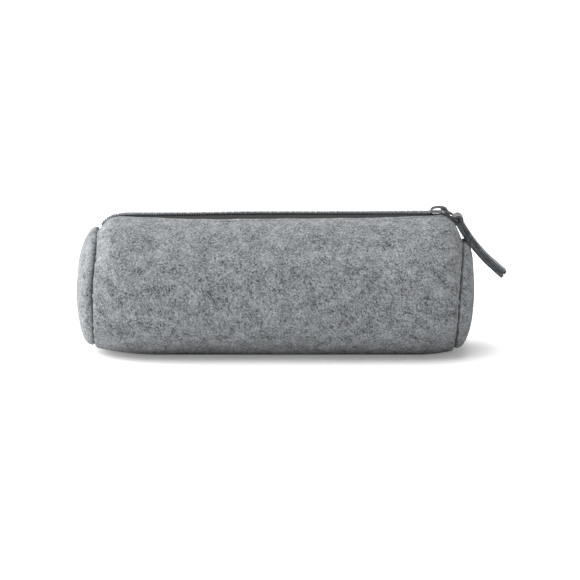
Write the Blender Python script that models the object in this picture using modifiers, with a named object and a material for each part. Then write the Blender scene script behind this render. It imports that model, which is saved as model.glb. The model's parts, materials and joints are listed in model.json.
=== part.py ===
"""Soft barrel case in grey wool felt with a coil zip along the top, for folded glasses.

Metres, +Z up, +X towards the closed end of the zip, -Y towards the front.
The origin is the middle of the flat strip that the case rests on.
"""

from math import asin, cos, pi, radians, sin, sqrt

import bmesh
import bpy
from mathutils import Matrix, Vector

# --- Driving dimensions -------------------------------------------------------------------------

FELT = 0.0022  # thickness of every felt piece
GAP = 0.0003  # clearance that stands for two surfaces in contact

SEAM_X = 0.0955  # the end seams lie in the planes x = -SEAM_X and x = SEAM_X
HALF_LENGTH = 0.105  # from the middle to the crown of an end disc
TOP_Z = 0.0753  # crown of the felt along the middle
SAG = 0.0015  # how far the round section is pressed flat where it rests
HALF_DEPTH = 0.0384  # front to back, halved, along the middle

# Seam circles: the end discs are smaller than the barrel, and the closed end of the zip droops.
LEFT_RADIUS, LEFT_CENTRE_Z = 0.0315, 0.0353
RIGHT_RADIUS, RIGHT_CENTRE_Z = 0.0292, 0.0312
LEAN, LEAN_Z = 0.04, 0.036  # both ends lean towards +X, by this much per metre above LEAN_Z

BEND = 0.0026  # outer radius of the felt where it turns in at a seam
ALLOWANCE = 0.0045  # seam allowance, turned in towards the axis
SEAM_GAP = 0.0012  # between the two allowances, where the thread lies
SEAM_THREAD = 0.0006

# Each shoulder: (length along X, power of the curve) at the top, the bottom and the sides.
LEFT_SHOULDER = {"top": (0.017, 1.7), "bottom": (0.038, 2.0), "side": (0.020, 2.0)}
RIGHT_SHOULDER = {"top": (0.0135, 1.5), "bottom": (0.020, 2.0), "side": (0.020, 2.0)}

# Angles round the section, from the bottom (0) by way of the front (90) to the top (180), in degrees.
HINGE_Y = 0.015  # the walls flex from here when the mouth opens
HINGE_ANGLE = asin(HINGE_Y / HALF_DEPTH)
FOLD_GAP = 0.0004
FOLD_ROW = radians(1.5)
LIP_Y = 0.0086  # half the distance between the felt edges along the zip

TAPE = 0.0006
TAPE_INNER_Y, TAPE_PARTED_Y, TAPE_OUTER_Y = 0.0013, 0.0052, 0.0150
TAPE_END_LEFT, TAPE_END_RIGHT = -0.0905, 0.0910
TAPE_PARTS = (0.0764, 0.0794)  # behind the slider the tapes part from TAPE_INNER_Y to TAPE_PARTED_Y
COIL_INNER_Y, COIL_OUTER_Y = 0.00015, 0.0030
COIL_DEPTH = 0.0008  # the coil's top lies this far under the felt's crown
COIL_END_LEFT, COIL_END_RIGHT = -0.0900, 0.0841

ZIP_THREAD = 0.0006
ZIP_THREAD_Y = 0.0118
ZIP_THREAD_ENDS = (-0.0870, 0.0830)

SLIDER_X = 0.0862
SLIDER_LENGTH = 0.0104
SLIDER_NOSE_WIDTH, SLIDER_TAIL_WIDTH = 0.0088, 0.0076
SLIDER_PLATE = 0.0007
SLIDER_FLANGE = 0.0010
SLIDER_RUNNING = 0.00025  # clearance over the coil
TAPE_SLOT_ABOVE, TAPE_SLOT_BELOW = 0.0009, 0.00045
POST_WIDTH, POST_LENGTH = 0.0018, 0.0036
BRIDGE_WIDTH, BRIDGE_THICK = 0.0032, 0.0010
BRIDGE_LENGTH, BRIDGE_HEIGHT = 0.0096, 0.0029

RING_WIRE = 0.0012
RING_REACH = 0.0017  # from the slider's middle to the ring's bar inside the bridge
RING_LENGTH, RING_WIDTH = 0.0100, 0.0134  # between wire centres
RING_CORNER = 0.0016
RING_TILT = radians(31)  # it points down over the closed end

STRAP_WIDTH = 0.0100
STRAP_LAYER_GAP = 0.0003
STRAP_LENGTH = 0.0375
STRAP_START_TILT, STRAP_END_TILT = radians(57), radians(40)
STRAP_STEPS = 12

# Resolution of the meshes.
ARC_STEPS, SHOULDER_STEPS, MIDDLE_STEPS = 3, 6, 8
WALL_STEPS = 14
DISC_SIDES, CAP_STEPS = 40, 7
SMOOTH_ANGLE = radians(40)

COLLECTION = "felt_glasses_case"


# --- The barrel's outer surface -----------------------------------------------------------------


def end_inset(distance, shoulder, total):
    """How far the surface has come in at this distance from a seam, if it comes in by total at the seam."""
    width, power = shoulder
    inset = (total - BEND) * max(0.0, 1 - distance / width) ** power
    if distance < BEND:
        inset += BEND - sqrt(max(0.0, BEND**2 - (BEND - distance) ** 2))
    return inset


def section(x):
    """(centre height, half height, half depth) of the barrel's outside at x."""
    from_left, from_right = x + SEAM_X, SEAM_X - x
    top = (
        TOP_Z
        - end_inset(from_left, LEFT_SHOULDER["top"], TOP_Z - LEFT_CENTRE_Z - LEFT_RADIUS)
        - end_inset(from_right, RIGHT_SHOULDER["top"], TOP_Z - RIGHT_CENTRE_Z - RIGHT_RADIUS)
    )
    bottom = (
        -SAG
        + end_inset(from_left, LEFT_SHOULDER["bottom"], SAG + LEFT_CENTRE_Z - LEFT_RADIUS)
        + end_inset(from_right, RIGHT_SHOULDER["bottom"], SAG + RIGHT_CENTRE_Z - RIGHT_RADIUS)
    )
    depth = (
        HALF_DEPTH
        - end_inset(from_left, LEFT_SHOULDER["side"], HALF_DEPTH - LEFT_RADIUS)
        - end_inset(from_right, RIGHT_SHOULDER["side"], HALF_DEPTH - RIGHT_RADIUS)
    )
    return (top + bottom) / 2, (top - bottom) / 2, depth


def skin_point(x, angle, turned_in=0.0):
    """A point of the outside, flat where it rests. turned_in runs down the seam allowance."""
    centre, height, depth = section(x)
    y = -(depth - turned_in) * sin(angle)
    z = max(0.0, centre - (height - turned_in) * cos(angle))
    return Vector((x + LEAN * (z - LEAN_Z), y, z))


def leaning(matrix):
    """The same placement, leaning as the barrel's ends do."""
    shear = Matrix.Identity(4)
    shear[0][2], shear[0][3] = LEAN, -LEAN * LEAN_Z
    return shear @ matrix


def barrel_stations():
    """[(x, turned_in)] from the left allowance to the right one, closer together on the bends."""
    bend = [BEND * (1 - cos(pi / 2 * i / ARC_STEPS)) for i in range(1, ARC_STEPS + 1)]
    flat = [ALLOWANCE, 0.0]

    def shoulder(width):
        return [BEND + (width - BEND) * i / SHOULDER_STEPS for i in range(1, SHOULDER_STEPS + 1)]

    left = bend + shoulder(LEFT_SHOULDER["bottom"][0])
    right = bend + shoulder(RIGHT_SHOULDER["bottom"][0])
    start, end = left[-1] - SEAM_X, SEAM_X - right[-1]
    middle = [start + (end - start) * i / MIDDLE_STEPS for i in range(1, MIDDLE_STEPS)]
    return (
        [(-SEAM_X, inward) for inward in flat]
        + [(d - SEAM_X, 0.0) for d in left]
        + [(x, 0.0) for x in middle]
        + [(SEAM_X - d, 0.0) for d in reversed(right)]
        + [(SEAM_X, inward) for inward in reversed(flat)]
    )


def stations_between(start, end, steps_per_metre=260):
    """Evenly spaced [(x, turned_in)] for a strip that stops short of the seams."""
    steps = max(2, round((end - start) * steps_per_metre))
    return [(start + (end - start) * i / steps, 0.0) for i in range(steps + 1)]


# --- Small modelling helpers --------------------------------------------------------------------


def clear_scene():
    for obj in list(bpy.data.objects):
        bpy.data.objects.remove(obj)


def material(name, colour, roughness, metallic=0.0):
    made = bpy.data.materials.new(name)
    made.use_nodes = True
    shader = made.node_tree.nodes["Principled BSDF"]
    shader.inputs["Base Color"].default_value = (*colour, 1.0)
    shader.inputs["Roughness"].default_value = roughness
    shader.inputs["Metallic"].default_value = metallic
    return made


def keep(obj, name, collection, finish):
    """Names an object, gives it its material, and puts it in the case's collection."""
    obj.name = name
    obj.data.name = name
    obj.data.materials.clear()
    obj.data.materials.append(finish)
    for other in list(obj.users_collection):
        other.objects.unlink(obj)
    collection.objects.link(obj)
    return obj


def place(obj, name, collection, finish):
    """keep, for a mesh whose round faces are to be shaded smooth."""
    keep(obj, name, collection, finish)
    obj.data.shade_smooth()
    obj.data.set_sharp_from_angle(angle=SMOOTH_ANGLE)
    return obj


def as_mesh(obj):
    """Replaces a curve object, or one with modifiers, by a plain mesh object with its caps welded."""
    bpy.context.view_layer.update()
    evaluated = obj.evaluated_get(bpy.context.evaluated_depsgraph_get())
    mesh = bpy.data.meshes.new_from_object(evaluated)
    made = bpy.data.objects.new(obj.name, mesh)
    made.matrix_world = obj.matrix_world
    bpy.context.scene.collection.objects.link(made)
    bpy.data.objects.remove(obj)
    shape = bmesh.new()
    shape.from_mesh(mesh)
    bmesh.ops.remove_doubles(shape, verts=shape.verts, dist=1e-6)
    shape.to_mesh(mesh)
    shape.free()
    return made


def surface_grid(stations, angles, sunk=0.0):
    """An open sheet over these stations and angles, sunk under the barrel's outside along its normal.

    angles is a list, or a function that gives the list at a station.
    """
    angles_at = angles if callable(angles) else lambda x: angles
    rows = len(angles_at(0.0))
    bpy.ops.mesh.primitive_grid_add(
        x_subdivisions=len(stations) - 1, y_subdivisions=rows - 1, size=1
    )
    sheet = bpy.context.object
    for vertex in sheet.data.vertices:
        along = round((vertex.co.x + 0.5) * (len(stations) - 1))
        around = round((vertex.co.y + 0.5) * (rows - 1))
        x, turned_in = stations[along]
        vertex.co = skin_point(x, angles_at(x)[around], turned_in)
    if sunk:
        sheet.data.update()
        normals = [vertex.normal.copy() for vertex in sheet.data.vertices]
        for vertex, normal in zip(sheet.data.vertices, normals):
            vertex.co -= normal * sunk
    return sheet


def thicken(sheet, thickness):
    solid = sheet.modifiers.new("thickness", "SOLIDIFY")
    solid.thickness = thickness
    solid.offset = -1
    solid.use_even_offset = True
    return sheet


def evenly(start, end, steps):
    return [start + (end - start) * i / steps for i in range(steps + 1)]


def angle_at(y):
    """The angle round the section, near the top, of a line at this distance in front of the zip."""
    return pi - asin(y / HALF_DEPTH)


def mirrored_angles(angles):
    """The same stretch on the back, in an order that keeps the faces pointing out."""
    return [-angle for angle in reversed(angles)]


def wire(points, thickness, name, closed=False, resolution=2):
    """A round wire along a list of points."""
    curve = bpy.data.curves.new(name, "CURVE")
    curve.dimensions = "3D"
    curve.bevel_depth = thickness / 2
    curve.bevel_resolution = resolution
    curve.use_fill_caps = True
    spline = curve.splines.new("POLY")
    spline.points.add(len(points) - 1)
    for place_of, point in zip(spline.points, points):
        place_of.co = (*point, 1.0)
    spline.use_cyclic_u = closed
    made = bpy.data.objects.new(name, curve)
    bpy.context.scene.collection.objects.link(made)
    return made


def flat_outline(points, half_thickness, name):
    """A filled outline in its own XY plane, extruded to both sides."""
    curve = bpy.data.curves.new(name, "CURVE")
    curve.dimensions = "2D"
    curve.fill_mode = "BOTH"
    curve.extrude = half_thickness
    spline = curve.splines.new("POLY")
    spline.points.add(len(points) - 1)
    for place_of, (x, y) in zip(spline.points, points):
        place_of.co = (x, y, 0.0, 1.0)
    spline.use_cyclic_u = True
    made = bpy.data.objects.new(name, curve)
    bpy.context.scene.collection.objects.link(made)
    return made


def block(low, high, name):
    bpy.ops.mesh.primitive_cube_add(size=1)
    made = bpy.context.object
    made.name = name
    made.data.transform(Matrix.Diagonal((*(Vector(high) - Vector(low)), 1.0)))
    made.data.transform(Matrix.Translation((Vector(high) + Vector(low)) / 2))
    return made


def join(target, others):
    """Joins closed meshes that overlap into one body, and removes the ones joined on."""
    for other in others:
        union = target.modifiers.new("join", "BOOLEAN")
        union.operation = "UNION"
        union.solver = "EXACT"
        union.object = other
    made = as_mesh(target)
    for other in others:
        bpy.data.objects.remove(other)
    return made


# --- The felt -----------------------------------------------------------------------------------


def felt_walls(collection, felt):
    """The felt that wraps the barrel: the strip it rests on, and a wall at the front and the back."""
    stations = barrel_stations()
    clear = FOLD_GAP / 2 / HALF_DEPTH
    base_half = HINGE_ANGLE - clear
    fold = HINGE_ANGLE + clear
    # A narrow row at each side of the fold makes both edges stand square to the surface.
    base = [-base_half, *evenly(-base_half + FOLD_ROW, base_half - FOLD_ROW, 4), base_half]
    front = [fold, *evenly(fold + FOLD_ROW, angle_at(LIP_Y), WALL_STEPS)]
    place(thicken(surface_grid(stations, base), FELT), "felt_base", collection, felt)
    place(thicken(surface_grid(stations, front), FELT), "felt_front", collection, felt)
    back = mirrored_angles(front)
    place(thicken(surface_grid(stations, back), FELT), "felt_back", collection, felt)


def disc_profile(radius):
    """[(out from the seam, radius)] of a disc's outside: allowance, quarter turn, then half an ellipse."""
    crown = HALF_LENGTH - SEAM_X - SEAM_GAP
    points = [(0.0, radius - BEND - ALLOWANCE)]
    for i in range(ARC_STEPS + 1):
        angle = pi / 2 * i / ARC_STEPS
        points.append((BEND - BEND * cos(angle), radius - BEND + BEND * sin(angle)))
    for i in range(1, CAP_STEPS + 1):
        angle = pi / 2 * (1 - i / CAP_STEPS)
        points.append((BEND + (crown - BEND) * cos(angle), radius * sin(angle)))
    points[-1] = (crown, 0.0)
    return points


def end_disc(name, side, radius, centre_z, collection, felt):
    """A round felt end, turned about the barrel's axis. side is -1 at the left and 1 at the right."""
    profile = disc_profile(radius)
    mesh = bpy.data.meshes.new(name)
    shape = bmesh.new()
    rail = [shape.verts.new((r, 0.0, out)) for out, r in profile]
    for first, second in zip(rail, rail[1:]):
        shape.edges.new((first, second))
    shape.to_mesh(mesh)
    shape.free()
    disc = bpy.data.objects.new(name, mesh)
    bpy.context.scene.collection.objects.link(disc)
    turn = disc.modifiers.new("turn", "SCREW")
    turn.steps = turn.render_steps = DISC_SIDES
    turn.use_merge_vertices = True
    turn.merge_threshold = 1e-5
    turn.use_normal_flip = True
    disc = as_mesh(disc)
    towards = Matrix.Rotation(side * pi / 2, 4, "Y")
    seat = Matrix.Translation((side * (SEAM_X + SEAM_GAP), 0.0, centre_z))
    disc.data.transform(leaning(seat @ towards))
    shape = bmesh.new()
    shape.from_mesh(disc.data)
    bmesh.ops.recalc_face_normals(shape, faces=shape.faces)
    crown = max(shape.verts, key=lambda vertex: side * vertex.co.x)
    if crown.link_faces[0].normal.x * side < 0:
        bmesh.ops.reverse_faces(shape, faces=shape.faces)
    shape.to_mesh(disc.data)
    shape.free()
    thicken(disc, FELT)
    place(disc, name, collection, felt)


def seam_thread(name, side, radius, centre_z, collection, thread):
    """The thread of an end seam, lying between the two allowances."""
    ring_radius = radius - BEND - ALLOWANCE / 2
    bpy.ops.mesh.primitive_torus_add(
        major_radius=ring_radius,
        minor_radius=SEAM_THREAD / 2,
        major_segments=DISC_SIDES,
        minor_segments=6,
    )
    ring = bpy.context.object
    seat = Matrix.Translation((side * (SEAM_X + SEAM_GAP / 2), 0.0, centre_z))
    ring.data.transform(leaning(seat @ Matrix.Rotation(pi / 2, 4, "Y")))
    place(ring, name, collection, thread)


# --- The zip ------------------------------------------------------------------------------------


def tape_angles(x):
    """The tape's width as angles, narrower behind the slider, where the two halves part."""
    start, end = TAPE_PARTS
    parted = min(1.0, max(0.0, (x - start) / (end - start)))
    inner = TAPE_INNER_Y + (TAPE_PARTED_Y - TAPE_INNER_Y) * parted
    return evenly(angle_at(TAPE_OUTER_Y), angle_at(inner), 3)


def zip_half(side_name, collection, tape_finish, coil_finish, thread):
    """One half of the zip: woven tape under the felt, its coil, and the thread that holds them."""
    front = side_name == "front"
    coil_angles = evenly(angle_at(COIL_OUTER_Y), angle_at(COIL_INNER_Y), 2)
    if not front:
        coil_angles = mirrored_angles(coil_angles)
    tape_depth = FELT + GAP
    tape_stations = stations_between(TAPE_END_LEFT, TAPE_END_RIGHT)
    across = tape_angles if front else lambda x: mirrored_angles(tape_angles(x))
    tape = surface_grid(tape_stations, across, tape_depth)
    place(thicken(tape, TAPE), f"zip_tape_{side_name}", collection, tape_finish)
    coil_stations = stations_between(COIL_END_LEFT, COIL_END_RIGHT)
    coil = surface_grid(coil_stations, coil_angles, COIL_DEPTH)
    place(thicken(coil, tape_depth - GAP - COIL_DEPTH), f"zip_coil_{side_name}", collection, coil_finish)
    side = 1 if side_name == "back" else -1
    run = [skin_point(x, side * -angle_at(ZIP_THREAD_Y)) for x, _ in stations_between(*ZIP_THREAD_ENDS, 160)]
    lift = ZIP_THREAD / 2 + GAP
    out = Vector((0.0, side * ZIP_THREAD_Y, sqrt(HALF_DEPTH**2 - ZIP_THREAD_Y**2))).normalized() * lift
    line = wire([point + out for point in run], ZIP_THREAD, f"{side_name}_zip_thread", resolution=1)
    keep(line, f"{side_name}_zip_thread", collection, thread)


def slider_outline():
    """A shield: broad at the nose, where the halves part, and narrower at the tail."""
    nose, tail, half = SLIDER_NOSE_WIDTH / 2, SLIDER_TAIL_WIDTH / 2, SLIDER_LENGTH / 2
    corner = 0.0018
    points = []
    for x, y, start in ((half - corner, nose - corner, 0), (-half + corner, tail - corner, 1)):
        for i in range(5):
            angle = (start + i / 4) * pi / 2
            points.append((x + corner * cos(angle), y + corner * sin(angle)))
    return points + [(x, -y) for x, y in reversed(points)]


def bridge_outline():
    """The arch over the slider that holds the pull ring, as an outline in X and Z."""
    half, foot = BRIDGE_LENGTH / 2, -SLIDER_PLATE / 2
    outer = [(half * cos(pi * i / 12), BRIDGE_HEIGHT * sin(pi * i / 12) ** 0.7) for i in range(13)]
    inner_half, inner_top = half - BRIDGE_THICK, BRIDGE_HEIGHT - BRIDGE_THICK
    inner = [(inner_half * cos(pi * i / 12), inner_top * sin(pi * i / 12) ** 0.7) for i in range(13)]
    return (
        [(half, foot)] + outer + [(-half, foot), (-inner_half, foot)] + inner[::-1] + [(inner_half, foot)]
    )


def slider_levels():
    """Heights of the slider's faces at the crown: (bottom, floor, slot top, ceiling, top)."""
    coil_top = TOP_Z - COIL_DEPTH
    tape_top = TOP_Z - FELT - GAP
    ceiling = coil_top + SLIDER_RUNNING
    floor = tape_top - TAPE - TAPE_SLOT_BELOW
    return (floor - SLIDER_PLATE, floor, tape_top + TAPE_SLOT_ABOVE, ceiling, ceiling + SLIDER_PLATE)


def zip_slider(collection, metal):
    """Two plates, the post between them, side flanges that hold the coil, and the bridge, cast in one."""
    bottom, floor, slot_top, ceiling, top = slider_levels()
    plates = []
    for low, high in ((bottom, floor), (ceiling, top)):
        plate = flat_outline(slider_outline(), (high - low) / 2, "plate")
        plate.location = (SLIDER_X, 0.0, (high + low) / 2)
        plates.append(as_mesh(plate))
    overlap = SLIDER_PLATE / 2
    post_start = SLIDER_X + 0.0008
    post = block(
        (post_start, -POST_WIDTH / 2, floor - overlap),
        (post_start + POST_LENGTH, POST_WIDTH / 2, ceiling + overlap),
        "post",
    )
    flanges = []
    half = SLIDER_LENGTH / 2 - 0.0016
    for side in (-1, 1):
        outer = side * (SLIDER_TAIL_WIDTH / 2 + 0.0005)
        inner = outer - side * SLIDER_FLANGE
        low, high = min(inner, outer), max(inner, outer)
        flanges.append(
            block((SLIDER_X - half, low, slot_top), (SLIDER_X + half, high, ceiling + overlap), "flange")
        )
    arch = flat_outline(bridge_outline(), BRIDGE_WIDTH / 2, "arch")
    arch.rotation_euler = (pi / 2, 0.0, 0.0)
    arch.location = (SLIDER_X, 0.0, top)
    slider = join(plates[1], [plates[0], post, *flanges, as_mesh(arch)])
    place(slider, "zip_slider", collection, metal)


# --- The pull -----------------------------------------------------------------------------------


def ring_pivot():
    """Centre of the ring's bar inside the bridge: the ring turns about this line."""
    top = slider_levels()[-1]
    return Vector((SLIDER_X + RING_REACH, 0.0, top + GAP + RING_WIRE / 2))


def ring_far_bar():
    """Centre of the ring's other bar, which the strap folds round."""
    return ring_pivot() + Vector((cos(RING_TILT), 0.0, -sin(RING_TILT))) * RING_LENGTH


def pull_ring(collection, metal):
    """A closed loop of round wire with rounded corners, hung from the bridge."""
    half = RING_WIDTH / 2 - RING_CORNER
    points = []
    for x, y, start in (
        (RING_LENGTH - RING_CORNER, half, 0),
        (RING_CORNER, half, 1),
        (RING_CORNER, -half, 2),
        (RING_LENGTH - RING_CORNER, -half, 3),
    ):
        for i in range(6):
            angle = (start + i / 5) * pi / 2
            points.append(Vector((x + RING_CORNER * cos(angle), y + RING_CORNER * sin(angle), 0.0)))
    turn = Matrix.Translation(ring_pivot()) @ Matrix.Rotation(RING_TILT, 4, "Y")
    ring = wire([turn @ point for point in points], RING_WIRE, "pull_ring", closed=True, resolution=3)
    keep(ring, "pull_ring", collection, metal)


def strap_centreline():
    """Points between the strap's two layers, from the ring's bar out, as it bends less and less steeply."""
    step = STRAP_LENGTH / STRAP_STEPS
    point = ring_far_bar()
    line = []
    for i in range(STRAP_STEPS + 1):
        tilt = STRAP_START_TILT + (STRAP_END_TILT - STRAP_START_TILT) * i / STRAP_STEPS
        line.append((point.copy(), tilt))
        point = point + Vector((cos(tilt), 0.0, -sin(tilt))) * step
    return line


def strap_path():
    """The middle of the felt: down the upper layer, round the ring's bar, and down the lower layer."""
    spacing = (FELT + STRAP_LAYER_GAP) / 2
    eye = RING_WIRE / 2 + GAP + FELT / 2
    line = strap_centreline()
    upper, lower = [], []
    for point, tilt in line[2:]:
        normal = Vector((sin(tilt), 0.0, cos(tilt)))
        upper.append(point + normal * spacing)
        lower.append(point - normal * spacing)
    centre = line[0][0]
    axis = STRAP_START_TILT
    opening = radians(38)
    loop = []
    for i in range(13):
        angle = -axis + opening + (2 * pi - 2 * opening) * i / 12
        loop.append(centre + Vector((cos(angle), 0.0, sin(angle))) * eye)
    return list(reversed(upper)) + loop + lower


def pull_strap(collection, felt):
    """One strip of felt folded round the ring, its two layers lying together."""
    path = strap_path()
    bpy.ops.mesh.primitive_grid_add(x_subdivisions=len(path) - 1, y_subdivisions=1, size=1)
    strap = bpy.context.object
    for vertex in strap.data.vertices:
        along = path[round((vertex.co.x + 0.5) * (len(path) - 1))]
        vertex.co = (along.x, vertex.co.y * STRAP_WIDTH, along.z)
    solid = strap.modifiers.new("thickness", "SOLIDIFY")
    solid.thickness = FELT
    solid.offset = 0
    solid.use_even_offset = True
    place(strap, "pull_strap", collection, felt)


# --- The whole case -----------------------------------------------------------------------------


def build():
    clear_scene()
    collection = bpy.data.collections.new(COLLECTION)
    bpy.context.scene.collection.children.link(collection)
    felt = material("grey_wool_felt", (0.30, 0.32, 0.33), 0.95)
    strap_felt = material("dark_wool_felt", (0.09, 0.10, 0.10), 0.95)
    tape = material("woven_polyester_tape", (0.04, 0.045, 0.05), 0.8)
    nylon = material("nylon_coil", (0.035, 0.04, 0.045), 0.4)
    thread = material("polyester_thread", (0.20, 0.21, 0.22), 0.7)
    metal = material("gunmetal_plated_zinc", (0.25, 0.25, 0.26), 0.25, metallic=1.0)
    felt_walls(collection, felt)
    ends = (("left", -1, LEFT_RADIUS, LEFT_CENTRE_Z), ("right", 1, RIGHT_RADIUS, RIGHT_CENTRE_Z))
    for name, side, radius, centre_z in ends:
        end_disc(f"{name}_end_disc", side, radius, centre_z, collection, felt)
        seam_thread(f"{name}_seam_thread", side, radius, centre_z, collection, thread)
    for side_name in ("front", "back"):
        zip_half(side_name, collection, tape, nylon, thread)
    zip_slider(collection, metal)
    pull_ring(collection, metal)
    pull_strap(collection, strap_felt)


build()
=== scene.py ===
# %% [markdown]
# # A soft felt glasses case
#
# The case is a barrel of grey wool felt with a domed disc of felt at each end. A coil zip runs along
# the top, and its slider carries a ring with a folded strap of felt as the pull. This script dresses
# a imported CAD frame: each cell makes one kind of piece, fits it to the frame, and prints what it made.

# %%
import json
from math import cos, pi, radians, sin

import bmesh
import bpy
import numpy as np
from mathutils import Matrix, Vector


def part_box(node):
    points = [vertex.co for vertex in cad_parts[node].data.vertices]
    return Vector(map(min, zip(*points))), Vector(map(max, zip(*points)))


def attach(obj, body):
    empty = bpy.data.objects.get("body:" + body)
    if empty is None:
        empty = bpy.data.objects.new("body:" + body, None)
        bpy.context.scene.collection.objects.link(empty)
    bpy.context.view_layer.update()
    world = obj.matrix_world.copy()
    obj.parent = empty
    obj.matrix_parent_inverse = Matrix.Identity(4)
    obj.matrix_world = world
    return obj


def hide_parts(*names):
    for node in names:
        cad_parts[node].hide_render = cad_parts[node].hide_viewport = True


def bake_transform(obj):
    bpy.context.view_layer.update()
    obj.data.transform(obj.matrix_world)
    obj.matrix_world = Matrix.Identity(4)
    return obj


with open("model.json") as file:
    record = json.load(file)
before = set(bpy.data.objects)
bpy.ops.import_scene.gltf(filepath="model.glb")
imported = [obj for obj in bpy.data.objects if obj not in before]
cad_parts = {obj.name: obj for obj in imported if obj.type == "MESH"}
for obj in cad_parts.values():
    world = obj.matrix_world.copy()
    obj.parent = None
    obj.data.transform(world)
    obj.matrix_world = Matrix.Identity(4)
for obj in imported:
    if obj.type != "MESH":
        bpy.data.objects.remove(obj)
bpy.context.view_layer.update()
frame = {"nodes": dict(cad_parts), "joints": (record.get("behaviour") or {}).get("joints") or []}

# %% [markdown]
# ## Sizes
#
# Sizes that the frame already fixes are read from its boxes, so that the looks always fit it. The
# rest are the dimensions of the real goods: 2.2 mm felt, a 5 mm coil zip, sewing thread.

# %%
FELT = 0.0022
EDGE = 0.0016
COIL_PITCH, COIL_WIDTH, COIL_HEIGHT, COIL_WIRE = 0.00132, 0.0031, 0.0019, 0.00062
STITCH_PITCH, STITCH_LENGTH, STITCH_THICK = 0.0034, 0.0027, 0.00042
TAPE_THICK = 0.0006
BEND = 0.0014
ALLOWANCE = 0.0045
LEAN, LEAN_Z = 0.04, 0.036
SAG = 0.0015

front_low, front_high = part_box("felt_front")
LOFT = 0.0007
FRAME_DEPTH, FRAME_LIP_Y = -front_low.y, -front_high.y
FRAME_TOP = front_high.z + FRAME_DEPTH - (FRAME_DEPTH**2 - FRAME_LIP_Y**2) ** 0.5
HALF_DEPTH, TOP_Z = FRAME_DEPTH + LOFT, FRAME_TOP + LOFT
LIP_Y, LIP_Y_END = 0.0100, 0.0046
left_low, left_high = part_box("left_end_disc")
right_low, right_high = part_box("right_end_disc")
LEFT_RADIUS, LEFT_CENTRE = (left_high.z - left_low.z) / 2, (left_high.z + left_low.z) / 2
RIGHT_RADIUS, RIGHT_CENTRE = (right_high.z - right_low.z) / 2, (right_high.z + right_low.z) / 2
CROWN_X = 0.1058
SEAM_X = 0.0959
SEAM_GAP = 0.0004
SEAM_SHIFT = {"left": 0.0012, "right": 0.0016}
LEFT_FOOT = 0.0014
slider_low, slider_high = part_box("zip_slider")
SLIDER_X = (slider_low.x + slider_high.x) / 2
print(f"barrel {2 * HALF_DEPTH * 1000:.1f} mm deep, crown at {TOP_Z * 1000:.1f} mm, slider at {SLIDER_X * 1000:.1f} mm")

# %% [markdown]
# ## The barrel's surface
#
# Every soft piece follows one surface, so it is written once, as a function of the position along the
# case and the angle round it. The section is an ellipse that shrinks into a shoulder at each end and is
# pressed flat where it rests. numpy works on all the points at once, which keeps fine meshes quick.

# %%
SHOULDERS = {
    "left": {"top": (0.022, 5.0), "bottom": (0.038, 2.0), "side": (0.020, 2.0)},
    "right": {"top": (0.0128, 2.7), "bottom": (0.020, 2.0), "side": (0.020, 2.0)},
}


def smooth(t):
    t = np.clip(t, 0.0, 1.0)
    return t * t * (3 - 2 * t)


def inset(distance, shoulder, total):
    """How far the surface has come in, at this distance from a seam where it comes in by total."""
    width, power = shoulder
    near = np.clip(distance, 0.0, BEND)
    return (total - BEND) * np.clip(1 - distance / width, 0.0, 1.0) ** power + BEND - np.sqrt(
        BEND**2 - (BEND - near) ** 2
    )


def section(x):
    """(centre height, half height, half depth) of the barrel's outside at x."""
    left, right = x + SEAM_X, SEAM_X - x
    a, b = SHOULDERS["left"], SHOULDERS["right"]
    top = TOP_Z - inset(left, a["top"], TOP_Z - LEFT_CENTRE - LEFT_RADIUS)
    top = top - inset(right, b["top"], TOP_Z - RIGHT_CENTRE - RIGHT_RADIUS)
    top = top - 0.0009 * smooth((-x - 0.005) / 0.075)
    bottom = -SAG + inset(left, a["bottom"], SAG + LEFT_CENTRE - LEFT_RADIUS)
    bottom = bottom + inset(right, b["bottom"], SAG + RIGHT_CENTRE - RIGHT_RADIUS)
    depth = HALF_DEPTH - inset(left, a["side"], HALF_DEPTH - LEFT_RADIUS)
    depth = depth - inset(right, b["side"], HALF_DEPTH - RIGHT_RADIUS)
    return (top + bottom) / 2, (top - bottom) / 2, depth


def seam_lean(x, z):
    """How far a point moves towards +X: both ends lean, and the top of each seam leans further."""
    upper = smooth((z - 0.034) / 0.027)
    left = SEAM_SHIFT["left"] * smooth((-x - 0.050) / 0.045)
    right = SEAM_SHIFT["right"] * smooth((x - 0.050) / 0.045)
    foot = LEFT_FOOT * smooth((-x - 0.050) / 0.045) * smooth((0.050 - z) / 0.032)
    return LEAN * (z - LEAN_Z) + upper * (left + right) + foot


def skin(x, angle, turned_in=0.0):
    """Points of the outside. angle runs from the bottom (0) by the front (pi/2) to the zip (pi)."""
    x, angle = np.broadcast_arrays(np.asarray(x, float), np.asarray(angle, float))
    centre, height, depth = section(x)
    y = -(depth - turned_in) * np.sin(angle)
    z = np.maximum(centre - (height - turned_in) * np.cos(angle), 0.0)
    return np.stack([x + seam_lean(x, z), y, z], -1)


def outward(x, angle):
    """The surface's unit normal, from the ellipse at x and the slope of the shoulder."""
    step = 1e-4
    along = skin(x + step, angle) - skin(x - step, angle)
    around = skin(x, angle + 1e-3) - skin(x, angle - 1e-3)
    normal = np.cross(along, around)
    length = np.linalg.norm(normal, axis=-1, keepdims=True)
    return normal / np.maximum(length, 1e-12)


def angle_at(y):
    return pi - np.arcsin(np.clip(y / HALF_DEPTH, -1, 1))


def lip_at(x):
    """Distance of the felt's cut edge from the middle of the zip: the mouth narrows at both ends."""
    far = smooth((np.abs(x) - 0.040) / 0.052)
    return LIP_Y + (LIP_Y_END - LIP_Y) * far


print("crown at the middle", np.round(skin(0.0, pi) * 1000, 1), "normal", np.round(outward(0.0, pi), 2))

# %% [markdown]
# ## Small tools
#
# A colour is written as an sRGB hex and turned into the linear values that shaders work in. One
# function adds a node with its settings and links, and a few others make meshes from points.

# %%


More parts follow.
